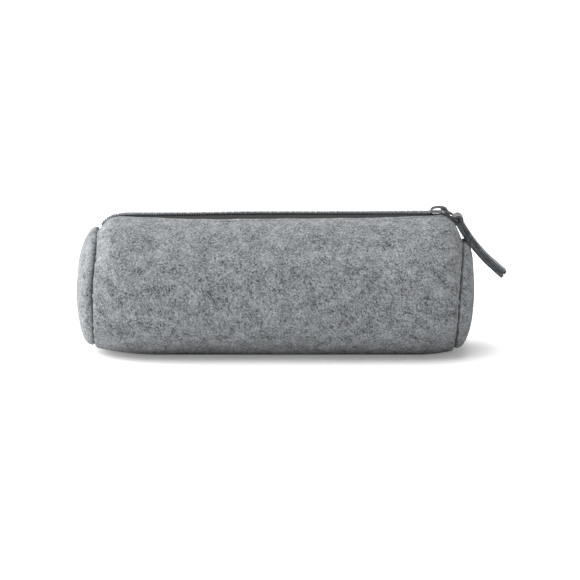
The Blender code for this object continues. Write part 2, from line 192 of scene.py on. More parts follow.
def linear(code):
    values = [int(code[i : i + 2], 16) / 255 for i in (0, 2, 4)]
    return tuple(v / 12.92 if v <= 0.04045 else ((v + 0.055) / 1.055) ** 2.4 for v in values) + (1.0,)


def add(tree, kind, settings=None, **links):
    """A node of this kind. settings are its properties; links are values or sockets for its inputs."""
    made = tree.nodes.new(kind)
    for name, value in (settings or {}).items():
        setattr(made, name, value)
    for name, value in links.items():
        key = int(name[1:]) if name[0] == "_" else name.replace("_", " ")
        socket = made.inputs[key]
        if isinstance(value, bpy.types.NodeSocket):
            tree.links.new(value, socket)
        else:
            socket.default_value = value
    return made


def new_material(name):
    made = bpy.data.materials.new(name)
    made.use_nodes = True
    tree = made.node_tree
    return made, tree, tree.nodes["Principled BSDF"]


def ramp(tree, value, low, high, low_colour, high_colour):
    """Maps value from [low, high] onto two colours."""
    made = add(tree, "ShaderNodeValToRGB", Fac=value)
    made.color_ramp.elements[0].position = low
    made.color_ramp.elements[1].position = high
    made.color_ramp.elements[0].color = low_colour
    made.color_ramp.elements[1].color = high_colour
    return made.outputs["Color"]


def mesh_object(name, points, faces, material=None, shade=True):
    mesh = bpy.data.meshes.new(name)
    mesh.from_pydata([tuple(p) for p in points], [], faces)
    mesh.update()
    made = bpy.data.objects.new(name, mesh)
    bpy.context.scene.collection.objects.link(made)
    if material:
        mesh.materials.append(material)
    if shade:
        mesh.shade_smooth()
    return made


def grid_object(name, grid, material=None):
    """A sheet over a grid of points, shaped (along, around, 3)."""
    n, m = grid.shape[:2]
    index = np.arange(n * m).reshape(n, m)
    quads = np.stack([index[:-1, :-1], index[1:, :-1], index[1:, 1:], index[:-1, 1:]], -1).reshape(-1, 4)
    return mesh_object(name, grid.reshape(-1, 3), quads.tolist(), material)


def thick_sheet(name, outside, normals, thickness, material):
    """A closed sheet: an outer grid, the same grid moved in along its normals, and a rim round both."""
    inside = outside - normals * np.asarray(thickness)[..., None]
    n, m = outside.shape[:2]
    index = np.arange(n * m).reshape(n, m)
    under = index + n * m
    quads = [np.stack([index[:-1, :-1], index[1:, :-1], index[1:, 1:], index[:-1, 1:]], -1).reshape(-1, 4)]
    quads.append(np.stack([under[:-1, :-1], under[:-1, 1:], under[1:, 1:], under[1:, :-1]], -1).reshape(-1, 4))
    for top, below in ((index[:, 0], under[:, 0]), (index[-1, :], under[-1, :])):
        quads.append(np.stack([top[1:], top[:-1], below[:-1], below[1:]], -1))
    for top, below in ((index[:, -1], under[:, -1]), (index[0, :], under[0, :])):
        quads.append(np.stack([top[:-1], top[1:], below[1:], below[:-1]], -1))
    faces = np.concatenate(quads).tolist()
    points = np.concatenate([outside.reshape(-1, 3), inside.reshape(-1, 3)])
    return mesh_object(name, points, faces, material)


def triangles(obj):
    obj.data.calc_loop_triangles()
    return len(obj.data.loop_triangles)


def plain_mesh(obj, name):
    """Turns an object and its modifiers into a plain mesh object of this name."""
    bpy.context.view_layer.update()
    mesh = bpy.data.meshes.new_from_object(obj.evaluated_get(bpy.context.evaluated_depsgraph_get()))
    made = bpy.data.objects.new(name, mesh)
    made.matrix_world = obj.matrix_world
    bpy.context.scene.collection.objects.link(made)
    bpy.data.objects.remove(obj)
    mesh.transform(made.matrix_world)
    made.matrix_world = Matrix.Identity(4)
    return made


def waves(points, seed, size):
    """Soft lumps between about -1 and 1, this far apart: a few sine waves in fixed random directions."""
    rng = np.random.default_rng(seed)
    total = np.zeros(points.shape[:-1])
    for _ in range(9):
        direction = rng.normal(size=3)
        direction /= np.linalg.norm(direction)
        turn = 2 * pi / (size * rng.uniform(0.7, 1.5))
        total += np.sin(points @ direction * turn + rng.uniform(0, 2 * pi))
    return total / 4


# %% [markdown]
# ## Materials
#
# Felt is matted wool: there is no weave, only short fibres lying every way, some lighter and some
# darker. Three noises stretched in different directions make the fibres, a wide soft one the cloudy
# tone, and a sheen gives the pale halo that wool has where it turns away.

# %%


def felt_material(name, pale, dark, sheen):
    """Wool felt, needled and pressed: matt and mottled, with a fine fibrous grain."""
    made, tree, shader = new_material(name)
    where = add(tree, "ShaderNodeTexCoord").outputs["Object"]
    strands = []
    turns = ((0.3, 0.2, 0.5), (1.2, 0.4, 2.1), (0.7, 1.3, 1.1), (2.0, 0.9, 0.2))
    for turn_by in turns:
        turned = add(
            tree, "ShaderNodeMapping", {"vector_type": "TEXTURE"}, Vector=where, Rotation=turn_by,
            Scale=(1 / 500, 1 / 1500, 1 / 1500), Location=turn_by,
        )
        noise = add(
            tree, "ShaderNodeTexNoise", Vector=turned.outputs["Vector"], Scale=1.0, Detail=2.0,
            Roughness=0.6, Distortion=0.8,
        )
        strands.append(noise.outputs["Fac"])
    lighter = add(tree, "ShaderNodeMath", {"operation": "MAXIMUM"}, _0=strands[0], _1=strands[1]).outputs[0]
    darker = add(tree, "ShaderNodeMath", {"operation": "MINIMUM"}, _0=strands[2], _1=strands[3]).outputs[0]
    both = add(tree, "ShaderNodeMath", {"operation": "ADD"}, _0=lighter, _1=darker).outputs[0]
    fibres = add(tree, "ShaderNodeMath", {"operation": "MULTIPLY"}, _0=both, _1=0.5).outputs[0]
    cloudy = add(tree, "ShaderNodeTexNoise", Vector=where, Scale=170.0, Detail=5.0, Roughness=0.75)
    tone = add(tree, "ShaderNodeMath", {"operation": "MULTIPLY_ADD"}, _0=cloudy.outputs["Fac"], _1=0.30, _2=-0.15)
    mixed = add(tree, "ShaderNodeMath", {"operation": "ADD"}, _0=fibres, _1=tone.outputs[0]).outputs[0]
    colour = ramp(tree, mixed, 0.38, 0.62, dark, pale)
    bump = add(tree, "ShaderNodeBump", Height=fibres, Strength=0.9, Distance=0.0007)
    tree.links.new(colour, shader.inputs["Base Color"])
    tree.links.new(bump.outputs["Normal"], shader.inputs["Normal"])
    shader.inputs["Roughness"].default_value = 0.95
    shader.inputs["Specular IOR Level"].default_value = 0.15
    shader.inputs["Sheen Weight"].default_value = sheen
    shader.inputs["Sheen Roughness"].default_value = 0.55
    return made


def weave_material(name, pale, dark):
    """Woven polyester zip tape: a fine twill, slightly glossy where the yarns crown."""
    made, tree, shader = new_material(name)
    where = add(tree, "ShaderNodeTexCoord").outputs["Object"]
    slant = add(tree, "ShaderNodeMapping", Vector=where, Rotation=(0.0, 0.0, 0.6), Scale=(1.0, 1.0, 1.0))
    rib = add(
        tree, "ShaderNodeTexWave", {"bands_direction": "X"}, Vector=slant.outputs["Vector"], Scale=420.0,
        Distortion=1.2, Detail=2.0, Detail_Scale=3.0,
    )
    cross = add(
        tree, "ShaderNodeTexWave", {"bands_direction": "Y"}, Vector=where, Scale=520.0, Distortion=0.8,
    )
    knit = add(tree, "ShaderNodeMath", {"operation": "MULTIPLY"}, _0=rib.outputs["Fac"], _1=cross.outputs["Fac"])
    tree.links.new(ramp(tree, knit.outputs[0], 0.05, 0.8, dark, pale), shader.inputs["Base Color"])
    bump = add(tree, "ShaderNodeBump", Height=knit.outputs[0], Strength=0.6, Distance=0.0002)
    tree.links.new(bump.outputs["Normal"], shader.inputs["Normal"])
    shader.inputs["Roughness"].default_value = 0.7
    return made


def nylon_material():
    """Nylon monofilament, extruded and heat-set: smooth, a little translucent, with satin highlights."""
    made, tree, shader = new_material("nylon monofilament, satin")
    where = add(tree, "ShaderNodeTexCoord").outputs["Object"]
    tint = add(tree, "ShaderNodeTexNoise", Vector=where, Scale=700.0, Detail=2.0)
    colour = ramp(tree, tint.outputs["Fac"], 0.3, 0.7, linear("5c6164"), linear("70767a"))
    tree.links.new(colour, shader.inputs["Base Color"])
    rough = add(tree, "ShaderNodeMapRange", Value=tint.outputs["Fac"], To_Min=0.34, To_Max=0.5)
    tree.links.new(rough.outputs["Result"], shader.inputs["Roughness"])
    shader.inputs["IOR"].default_value = 1.53
    return made


def thread_material():
    """Spun polyester thread: two plies twisted together, so fine slanting bands run along it."""
    made, tree, shader = new_material("spun polyester thread, two-ply")
    where = add(tree, "ShaderNodeTexCoord").outputs["Object"]
    slant = add(tree, "ShaderNodeMapping", Vector=where, Rotation=(0.5, 0.4, 0.7))
    plies = add(
        tree, "ShaderNodeTexWave", Vector=slant.outputs["Vector"], Scale=900.0, Distortion=1.0, Detail=1.0
    )
    colour = ramp(tree, plies.outputs["Fac"], 0.1, 0.9, linear("5c6063"), linear("7f8385"))
    tree.links.new(colour, shader.inputs["Base Color"])
    bump = add(tree, "ShaderNodeBump", Height=plies.outputs["Fac"], Strength=0.5, Distance=0.0001)
    tree.links.new(bump.outputs["Normal"], shader.inputs["Normal"])
    shader.inputs["Roughness"].default_value = 0.65
    return made


def gunmetal_material():
    """Zinc die casting with a dark nickel plate, barrel polished: mirror-like, with fine handling marks."""
    made, tree, shader = new_material("gunmetal-plated zinc, polished")
    where = add(tree, "ShaderNodeTexCoord").outputs["Object"]
    marks = add(tree, "ShaderNodeMapping", Vector=where, Rotation=(0.2, 0.7, 0.4), Scale=(300, 2600, 2600))
    scratch = add(tree, "ShaderNodeTexNoise", Vector=marks.outputs["Vector"], Scale=1.0, Detail=3.0)
    smudge = add(tree, "ShaderNodeTexNoise", Vector=where, Scale=380.0, Detail=2.0)
    colour = ramp(tree, smudge.outputs["Fac"], 0.3, 0.7, linear("56575a"), linear("6e6f72"))
    tree.links.new(colour, shader.inputs["Base Color"])
    rough = add(tree, "ShaderNodeMapRange", Value=scratch.outputs["Fac"], To_Min=0.08, To_Max=0.24)
    tree.links.new(rough.outputs["Result"], shader.inputs["Roughness"])
    bump = add(tree, "ShaderNodeBump", Height=scratch.outputs["Fac"], Strength=0.12, Distance=0.00005)
    tree.links.new(bump.outputs["Normal"], shader.inputs["Normal"])
    shader.inputs["Metallic"].default_value = 1.0
    return made


felt = felt_material("wool felt, needled and pressed", linear("a1a5a8"), linear("1a1d20"), 0.13)
# A darker copy of the felt for cut edges: partly the denser fibres of a cut face, partly painted shade on narrow side
# faces.
cut_felt_and_shade = felt_material("wool felt, cut edge and painted shade", linear("70757a"), linear("0b0c0d"), 0.04)
fibre = felt_material("wool fibre, loose on the felt", linear("989c9f"), linear("5f6366"), 0.4)
tape_cloth = weave_material("polyester zip tape, woven", linear("1f2224"), linear("0c0e0f"))
nylon = nylon_material()
thread = thread_material()
gunmetal = gunmetal_material()

# %% [markdown]
# ## The soft pieces in place
#
# The real mouth parts only behind the slider, in the shape of a lens, and the felt flexes up the wall from
# the bottom. Here each soft piece of the wrap and the zip only has its transform baked into its mesh and its
# points read; nothing bends it.


def opens_with(obj):
    """Bakes a mesh's transform into its points and reads them; it does not bend the mesh."""
    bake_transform(obj)
    points = np.empty(len(obj.data.vertices) * 3, np.float32)
    obj.data.vertices.foreach_get("co", points)
    return obj


# %% [markdown]
# ## The felt wrap
#
# The wrap is a fine grid laid over the barrel's surface and given its thickness along the normals. Felt
# is stiff but never flat, so the grid is modelled in code the way a sculptor would: wide soft lumps,
# slanting dents by the left end, small puckers where it is gathered into the round seams, and an edge
# that the zip's stitches pull down in shallow scallops. The two halves meet along the bottom.

# %%
ROW = 0.0012


def wrap_stations():
    """(x, turned_in) along the case, finer on the bends into the seams."""
    bend = BEND * (1 - np.cos(np.linspace(0, pi / 2, 9)[1:]))
    middle = np.linspace(-SEAM_X + BEND, SEAM_X - BEND, round(2 * (SEAM_X - BEND) / ROW))
    xs = np.concatenate([[-SEAM_X] * 5, -SEAM_X + bend[:-1], middle, (SEAM_X - bend[:-1])[::-1], [SEAM_X] * 5])
    turned = np.concatenate([np.linspace(ALLOWANCE, 0, 5), np.zeros(len(xs) - 10), np.linspace(0, ALLOWANCE, 5)])
    return xs, turned


def dents(points, xs, angles):
    """Height of the felt's lumps, dents and puckers over the even surface."""
    x, a = xs, angles
    height = 0.00035 * waves(points, 3, 0.038) + 0.00012 * waves(points, 8, 0.011)
    left = np.exp(-(((x + 0.079) / 0.006) ** 2)) * np.exp(-(((a - 2.25 + (x + 0.079) * 22) / 0.20) ** 2))
    fold = np.exp(-(((x + 0.066 - 0.012 * (a - 2.2)) / 0.0045) ** 2)) * np.exp(-(((a - 2.35) / 0.28) ** 2))
    right = np.exp(-(((x - 0.080 + 0.008 * (a - 2.0)) / 0.005) ** 2)) * np.exp(-(((a - 2.1) / 0.30) ** 2))
    height = height - 0.0009 * left - 0.0008 * fold - 0.0008 * right
    gathered = np.exp(-(SEAM_X - np.abs(x)) / 0.006)
    pucker = np.sin(a * 31 + 1.7 * np.sin(a * 5)) + 0.6 * np.sin(a * 47 + 1.0)
    height = height + 0.00022 * gathered * pucker * (1 + 0.5 * waves(points, 5, 0.02))
    resting = smooth((np.abs(a) - 0.25) / 0.35)
    return height * resting


def wrap_half(side):
    sign = 1 if side == "front" else -1
    xs, turned = wrap_stations()
    lip = angle_at(lip_at(xs))[:, None]
    steps = round(angle_at(LIP_Y) * HALF_DEPTH / ROW)
    angles = np.linspace(0, 1, steps + 1) ** 0.97
    grid_x, grid_a = np.broadcast_arrays(xs[:, None], lip * angles)
    grid_t = np.broadcast_to(turned[:, None], grid_x.shape)
    points = skin(grid_x, sign * grid_a, grid_t)
    to_lip = (lip - grid_a) * HALF_DEPTH
    scallop = 0.5 + 0.5 * np.cos(2 * pi * grid_x / STITCH_PITCH)
    wander = waves(points, 12, 0.02)
    pulled = np.exp(-((to_lip / 0.0034) ** 2)) * ((0.00080 if sign > 0 else 0.00125) + 0.00012 * wander)
    stitch_dip = np.exp(-(((to_lip - 0.0030) / 0.0009) ** 2)) * (0.00020 + 0.00012 * scallop)
    sheet = grid_object("normals", points)
    normals = np.empty(len(sheet.data.vertices) * 3, np.float32)
    sheet.data.vertices.foreach_get("normal", normals)
    normals = normals.reshape(points.shape).astype(float)
    bpy.data.objects.remove(sheet)
    if (normals[len(xs) // 2, len(angles) // 2, 1] > 0) == (sign > 0):
        normals = -normals
    lift = dents(points, grid_x, grid_a) - pulled - stitch_dip
    inside_seam = 1 - smooth(grid_t / 0.001)
    points = points + normals * (lift * inside_seam)[..., None]
    edge_wave = 0.00010 * scallop + 0.00018 * waves(points, 21, 0.009)
    points[..., 1] += sign * (edge_wave * np.exp(-((to_lip / 0.002) ** 2)) * inside_seam)
    points[..., 2] = np.maximum(points[..., 2], 0.0)
    thickness = FELT - (FELT - EDGE) * np.exp(-((to_lip / 0.0016) ** 2))
    if sign < 0:
        points, normals, thickness = points[:, ::-1], normals[:, ::-1], thickness[:, ::-1]
    made = thick_sheet(f"felt_wrap_{side}", points, normals, thickness, felt)
    made.data.materials.append(cut_felt_and_shade)
    return made


wraps = {}
for side in ("front", "back"):
    wraps[side] = wrap_half(side)
    print(wraps[side].name, triangles(wraps[side]), "triangles")

# %% [markdown]
# ## The end discs
#
# Each end is a disc of felt whose rim turns in at the seam and whose middle bulges, because the stuffed
# seam allowance pushes it out. It is revolved round the barrel's axis, then given the same lumps.

# %%


def end_disc(side):
    sign = -1 if side == "left" else 1
    radius, centre = (LEFT_RADIUS, LEFT_CENTRE) if side == "left" else (RIGHT_RADIUS, RIGHT_CENTRE)
    crown = CROWN_X - SEAM_X - SEAM_GAP
    turn = np.linspace(0, pi / 2, 9)
    out = np.concatenate([np.zeros(4), BEND * (1 - np.cos(turn))])
    far = np.concatenate([np.linspace(radius - BEND - ALLOWANCE, radius - BEND, 5)[:-1], radius - BEND + BEND * np.sin(turn)])
    dome = np.linspace(pi / 2, 0.02, 34)[1:]
    out = np.concatenate([out, BEND + (crown - BEND) * np.cos(dome)])
    far = np.concatenate([far, radius * np.sin(dome)])
    around = np.linspace(0, 2 * pi, 161)[:-1]
    grid_out, grid_a = np.meshgrid(out, around, indexing="ij")
    grid_r = np.broadcast_to(far[:, None], grid_out.shape)
    lumps = np.stack([grid_r * np.cos(grid_a), grid_r * np.sin(grid_a), grid_out], -1)
    gathered = np.exp(-((radius - grid_r) / 0.004)) * smooth(grid_out / 0.001)
    height = 0.00032 * waves(lumps, 31 + sign, 0.026) * smooth(grid_out / 0.003)
    height = height + 0.00018 * gathered * np.sin(grid_a * 29 + 2 * np.sin(3 * grid_a))
    z = centre - grid_r * np.cos(grid_a)
    y = grid_r * np.sin(grid_a)
    shift = seam_lean(np.full(z.shape, sign * SEAM_X), z)
    squeeze = 1 - sign * (shift - LEAN * (z - LEAN_Z)) / crown
    x = sign * (SEAM_X + SEAM_GAP + grid_out * squeeze + height) + shift
    points = np.stack([x, y, z], -1)
    n, m = points.shape[:2]
    index = np.arange(n * m).reshape(n, m)
    ahead = np.roll(index, -1, axis=1)
    quads = np.stack([index[:-1], index[1:], ahead[1:], ahead[:-1]], -1).reshape(-1, 4).tolist()
    middle = n * m
    peak = points[-1].mean(0)
    faces = quads + [[int(index[-1, j]), middle, int(ahead[-1, j])] for j in range(m)]
    disc = mesh_object(f"felt_disc_{side}", np.concatenate([points.reshape(-1, 3), peak[None]]), faces, felt)
    shape = bmesh.new()
    shape.from_mesh(disc.data)
    bmesh.ops.recalc_face_normals(shape, faces=shape.faces)
    tip = max(shape.verts, key=lambda vertex: sign * vertex.co.x)
    if tip.link_faces[0].normal.x * sign < 0:
        bmesh.ops.reverse_faces(shape, faces=shape.faces)
    shape.to_mesh(disc.data)
    shape.free()
    solid = disc.modifiers.new("thickness", "SOLIDIFY")
    solid.thickness = FELT
    solid.offset = -1
    disc = plain_mesh(disc, f"felt_disc_{side}")
    disc.data.shade_smooth()
    return disc


discs = {side: end_disc(side) for side in ("left", "right")}
for disc in discs.values():
    print(disc.name, triangles(disc), "triangles")

# %% [markdown]
# ## Repeats along a path
#
# Coil teeth and stitches are one small shape repeated at an even pitch, which is what Geometry Nodes is
# for. The tree resamples a path by length, sets a copy on each point, turns it to follow the path and to
# stand on the surface, shakes it a little, and makes the copies real. The path carries the surface's
# normal as an attribute called up.

# %%


def repeat_tree():
    tree = bpy.data.node_groups.new("repeat along a path", "GeometryNodeTree")
    interface = tree.interface
    interface.new_socket("Geometry", in_out="INPUT", socket_type="NodeSocketGeometry")
    interface.new_socket("Unit", in_out="INPUT", socket_type="NodeSocketObject")
    interface.new_socket("Pitch", in_out="INPUT", socket_type="NodeSocketFloat")
    interface.new_socket("Shake", in_out="INPUT", socket_type="NodeSocketFloat")
    interface.new_socket("Seed", in_out="INPUT", socket_type="NodeSocketInt")
    interface.new_socket("Material", in_out="INPUT", socket_type="NodeSocketMaterial")
    interface.new_socket("Geometry", in_out="OUTPUT", socket_type="NodeSocketGeometry")
    given = add(tree, "NodeGroupInput").outputs
    line = add(tree, "GeometryNodeMeshToCurve", Mesh=given["Geometry"])
    even = add(tree, "GeometryNodeResampleCurve", {"mode": "LENGTH"}, Curve=line.outputs["Curve"], Length=given["Pitch"])
    tangent = add(tree, "GeometryNodeInputTangent")
    up = add(tree, "GeometryNodeInputNamedAttribute", {"data_type": "FLOAT_VECTOR"}, Name="up")
    along = add(tree, "FunctionNodeAlignRotationToVector", {"axis": "X"}, Vector=tangent.outputs["Tangent"])
    stood = add(
        tree, "FunctionNodeAlignRotationToVector", {"axis": "Z", "pivot_axis": "X"},
        Rotation=along.outputs["Rotation"], Vector=up.outputs["Attribute"],
    )
    low = add(tree, "ShaderNodeMath", {"operation": "MULTIPLY"}, _0=given["Shake"], _1=-1.0)
    shaken = add(tree, "FunctionNodeRandomValue", {"data_type": "FLOAT_VECTOR"}, Seed=given["Seed"])
    tree.links.new(low.outputs[0], shaken.inputs[0])
    tree.links.new(given["Shake"], shaken.inputs[1])
    unit = add(tree, "GeometryNodeObjectInfo", Object=given["Unit"])
    copies = add(
        tree, "GeometryNodeInstanceOnPoints", Points=even.outputs["Curve"], Instance=unit.outputs["Geometry"],
        Rotation=stood.outputs["Rotation"],
    )
    jolted = add(
        tree, "GeometryNodeRotateInstances", Instances=copies.outputs["Instances"], Rotation=shaken.outputs[0]
    )
    real = add(tree, "GeometryNodeRealizeInstances", Geometry=jolted.outputs["Instances"])
    painted = add(tree, "GeometryNodeSetMaterial", Geometry=real.outputs["Geometry"], Material=given["Material"])
    add(tree, "NodeGroupOutput", Geometry=painted.outputs["Geometry"])
    return tree


REPEAT = repeat_tree()


def repeat(name, path, ups, unit, pitch, material, shake=0.0, seed=1):
    """A plain mesh of copies of unit along a path of points."""
    mesh = bpy.data.meshes.new(name)
    mesh.from_pydata([tuple(p) for p in path], [(i, i + 1) for i in range(len(path) - 1)], [])
    attribute = mesh.attributes.new("up", "FLOAT_VECTOR", "POINT")
    attribute.data.foreach_set("vector", np.asarray(ups, np.float32).reshape(-1))
    carrier = bpy.data.objects.new(name + "_path", mesh)
    bpy.context.scene.collection.objects.link(carrier)
    modifier = carrier.modifiers.new("repeat", "NODES")
    modifier.node_group = REPEAT
    values = {"Unit": unit, "Pitch": pitch, "Shake": shake, "Seed": seed, "Material": material}
    for item in REPEAT.interface.items_tree:
        if item.in_out == "INPUT" and item.name in values:
            modifier[item.identifier] = values[item.name]
    made = plain_mesh(carrier, name)
    made.data.shade_smooth()
    return made


def tube(name, path, thickness, sides=6, closed=False):
    """A plain mesh of round wire along a path, with its ends capped."""
    curve = bpy.data.curves.new(name, "CURVE")
    curve.dimensions = "3D"
    curve.bevel_depth = thickness / 2
    curve.bevel_resolution = max(0, sides // 2 - 2)
    curve.use_fill_caps = True
    spline = curve.splines.new("POLY")
    spline.points.add(len(path) - 1)
    for spot, point in zip(spline.points, path):
        spot.co = (*point, 1.0)
    spline.use_cyclic_u = closed
    made = bpy.data.objects.new(name, curve)
    bpy.context.scene.collection.objects.link(made)
    made = plain_mesh(made, name)
    shape = bmesh.new()
    shape.from_mesh(made.data)
    bmesh.ops.remove_doubles(shape, verts=shape.verts, dist=1e-6)
    bmesh.ops.recalc_face_normals(shape, faces=shape.faces)
    shape.to_mesh(made.data)
    shape.free()
    made.data.shade_smooth()
    return made


def bury(obj):
    """A unit that only feeds a repeat is taken away once its copies are real."""
    bpy.data.objects.remove(obj)


# %% [markdown]
# ## The zip
#
# Each half of the zip is a woven tape with a coil of nylon sewn to its inner edge. One turn of the coil
# is a flattened loop, open at the tape and headed at the middle, and the two halves are set half a pitch
# apart so that their heads lie between each other. The tape rises in the mouth, which is why so much of
# it shows between the felt and the coil.

# %%
COIL_TOP = 0.0004
ZIP_END = SEAM_X - 0.0012


def outward_up(x, angle):
    normal = outward(x, angle)
    return np.where(normal[..., 2:3] < 0, -normal, normal)


def tape(side):
    sign = 1 if side == "back" else -1
    xs = np.linspace(-ZIP_END, ZIP_END, 210)
    across = np.array([0.0150, 0.0125, 0.0105, 0.0092, 0.0082, 0.0072, 0.0060, 0.0048, 0.0036, 0.0024, 0.0012])
    grid_x, grid_y = np.meshgrid(xs, across, indexing="ij")
    past_lip = grid_y - lip_at(grid_x)
    grid_d = np.interp(past_lip, [-0.0076, -0.0060, -0.0025, -0.0008, 0.0025], [0.0014, 0.0009, 0.0012, 0.0019, 0.0024])
    angle = -sign * angle_at(grid_y)
    normal = outward_up(grid_x, angle)
    points = skin(grid_x, angle) - normal * grid_d[..., None]
    order = slice(None) if sign < 0 else slice(None, None, -1)
    points, normal = points[:, order], normal[:, order]
    return thick_sheet(f"tape_{side}", points, normal, np.full(grid_x.shape, TAPE_THICK), tape_cloth)


def coil_turn():
    """One turn of the coil: a flattened loop with its head at +Y and its ends at the tape."""
    half_w, half_h = COIL_WIDTH / 2, (COIL_HEIGHT - COIL_WIRE) / 2
    path = []
    for i in range(12):
        angle = 2 * pi * i / 12
        square = (abs(cos(angle)) ** 0.75, abs(sin(angle)) ** 0.75)
        y = half_w * square[0] * (1 if cos(angle) > 0 else -1)
        z = half_h * square[1] * (1 if sin(angle) > 0 else -1)
        path.append((COIL_PITCH * 0.22 * sin(angle), y, z))
    return tube("coil_turn", path, COIL_WIRE, sides=6, closed=True)


def coil(side, turn):
    sign = 1 if side == "back" else -1
    shift = COIL_PITCH / 2 if side == "back" else 0.0
    xs = np.arange(-ZIP_END + shift, SLIDER_X + 0.003, 0.0005)
    angle = -sign * np.full(xs.shape, angle_at(COIL_WIDTH / 2 - 0.0003))
    normal = outward_up(xs, angle)
    lifted = COIL_TOP - COIL_HEIGHT / 2 + 0.00015
    points = skin(xs, angle) + normal * lifted
    return repeat(f"coil_{side}", points, normal, turn, COIL_PITCH, nylon, shake=0.02, seed=4)


def stitch_unit():
    """One lockstitch as it shows: a short strand that dips into the felt at both ends."""
    half = STITCH_LENGTH / 2
    path = [(half * t, 0.0, -0.00055 * abs(t) ** 3) for t in np.linspace(-1, 1, 7)]
    return tube("stitch", path, STITCH_THICK, sides=6)


def zip_stitches(side, unit):
    sign = 1 if side == "back" else -1
    xs = np.linspace(-ZIP_END + 0.003, ZIP_END - 0.004, 400)
    angle = -sign * angle_at(lip_at(xs) + 0.0030)
    normal = outward_up(xs, angle)
    points = skin(xs, angle) - normal * 0.00030
    return repeat(f"zip_stitches_{side}", points, normal, unit, STITCH_PITCH, thread, shake=0.05, seed=9)


tapes = {side: tape(side) for side in ("front", "back")}
turn = coil_turn()
print("one coil turn has", triangles(turn), "triangles")
coils = {side: coil(side, turn) for side in ("front", "back")}
bury(turn)
stitch = stitch_unit()
zip_threads = {side: zip_stitches(side, stitch) for side in ("front", "back")}
for made in (*tapes.values(), *coils.values(), *zip_threads.values()):
    print(made.name, triangles(made), "triangles")

# %% [markdown]
# ## The end seams
#
# The discs are sewn to the wrap from the inside and turned out, so only a little thread shows down in
# the groove. The same stitch is repeated round each seam circle.

# %%


def seam_stitches(side):
    sign = -1 if side == "left" else 1
    radius, centre = (LEFT_RADIUS, LEFT_CENTRE) if side == "left" else (RIGHT_RADIUS, RIGHT_CENTRE)
    around = np.linspace(0, 2 * pi, 240)
    ring = radius - BEND - 0.0001
    out = np.stack([np.zeros_like(around), np.sin(around), -np.cos(around)], -1)
    points = out * ring
    points[:, 2] += centre
    points[:, 0] = sign * (SEAM_X + SEAM_GAP / 2) + seam_lean(np.full(len(points), sign * SEAM_X), points[:, 2])
    return repeat(f"seam_stitches_{side}", points, out, stitch, STITCH_PITCH, thread, shake=0.1, seed=2)


seam_threads = {side: seam_stitches(side) for side in ("left", "right")}
for made in seam_threads.values():
    print(made.name, triangles(made), "triangles")

# %% [markdown]
# ## The slider and its ring
#
# The slider is a zinc casting: every edge of a casting is round, because sharp ones don't fill the mould.
# A fine remesh of the frame's slider followed by smoothing rounds all the edges at once. The ring is a
# length of round wire bent to a rectangle.

# %%
RING_WIRE = 0.00125


def cast_slider():
    copy = bpy.data.objects.new("cast_slider", frame["nodes"]["zip_slider"].data.copy())
    bpy.context.scene.collection.objects.link(copy)
    shape = bmesh.new()
    shape.from_mesh(copy.data)
    bmesh.ops.remove_doubles(shape, verts=shape.verts, dist=1e-6)
    bmesh.ops.recalc_face_normals(shape, faces=shape.faces)
    shape.to_mesh(copy.data)
    shape.free()
    remesh = copy.modifiers.new("remesh", "REMESH")
    remesh.mode = "VOXEL"
    remesh.voxel_size = 0.00013
    rounding = copy.modifiers.new("rounding", "SMOOTH")
    rounding.factor = 0.5
    rounding.iterations = 5
    made = plain_mesh(copy, "slider_casting")
    made.data.transform(Matrix.Translation((0.0003, 0.0, 0.0)))
    made.data.materials.clear()
    made.data.materials.append(gunmetal)
    made.data.shade_smooth()
    return made


def bent_ring():
    ring_joint = next(joint for joint in frame["joints"] if joint["name"] == "ring_flip")
    strap_joint = next(joint for joint in frame["joints"] if joint["name"] == "strap_swing")
    pivot, far = Vector(ring_joint["pos_m"]), Vector(strap_joint["pos_m"])
    low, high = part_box("pull_ring")
    half, corner = (high.y - low.y - RING_WIRE) / 2, 0.0019
    length = (far - pivot).length
    forward = (far - pivot).normalized()
    path = []
    for x, y, start in ((length - corner, half - corner, 0), (corner, half - corner, 1), (corner, corner - half, 2), (length - corner, corner - half, 3)):
        for i in range(9):
            angle = (start + i / 8) * pi / 2
            path.append(pivot + forward * (x + corner * cos(angle)) + Vector((0, y + corner * sin(angle), 0)))
    made = tube("ring_wire", path, RING_WIRE, sides=14, closed=True)
    made.data.materials.append(gunmetal)
    return made, pivot, far, forward


casting = cast_slider()
ring, ring_pivot, ring_far, ring_forward = bent_ring()
print(casting.name, triangles(casting), "triangles;", ring.name, triangles(ring), "triangles")

# %% [markdown]
# ## The pull strap
#
# One strip of felt folds round the ring's far bar and its two layers lie together. Its long edges were
# cut with a blade and have a darker copy of the felt as a material of their own: partly the denser
# fibres of a cut face, and partly painted shade on these narrow side faces. The path of the fold is
# thickened along its normals, with rounded long edges.

# %%
STRAP_LENGTH, STRAP_HALF_WIDTH = 0.0384, 0.0056
STRAP_TILTS = (radians(60), radians(39))


def strap_path():
    """The middle of the felt: out along the lower layer's mirror, round the bar, and back below."""
    steps = 40
    eye = RING_WIRE / 2 + 0.00025 + FELT / 2
    point = ring_far.copy()
    line = []
    for i in range(steps + 1):
        t = i / steps
        tilt = STRAP_TILTS[0] + (STRAP_TILTS[1] - STRAP_TILTS[0]) * smooth(t * 0.9 + 0.05)
        line.append((point.copy(), float(tilt), t))
        point = point + Vector((cos(tilt), 0, -sin(tilt))) * STRAP_LENGTH / steps
    upper, lower = [], []
    for point, tilt, t in line[3:]:
        normal = Vector((sin(tilt), 0, cos(tilt)))
        apart = FELT * 0.485 + 0.00001 + 0.00014 * float(smooth((t - 0.6) / 0.4))
        upper.append(point + normal * apart)
        lower.append(point - normal * apart)
    opening = radians(32)
    loop = []
    for i in range(25):
        angle = -STRAP_TILTS[0] + opening + (2 * pi - 2 * opening) * i / 24
        loop.append(ring_far + Vector((cos(angle), 0, sin(angle))) * eye)
    return [np.array(p) for p in list(reversed(upper)) + loop + lower]


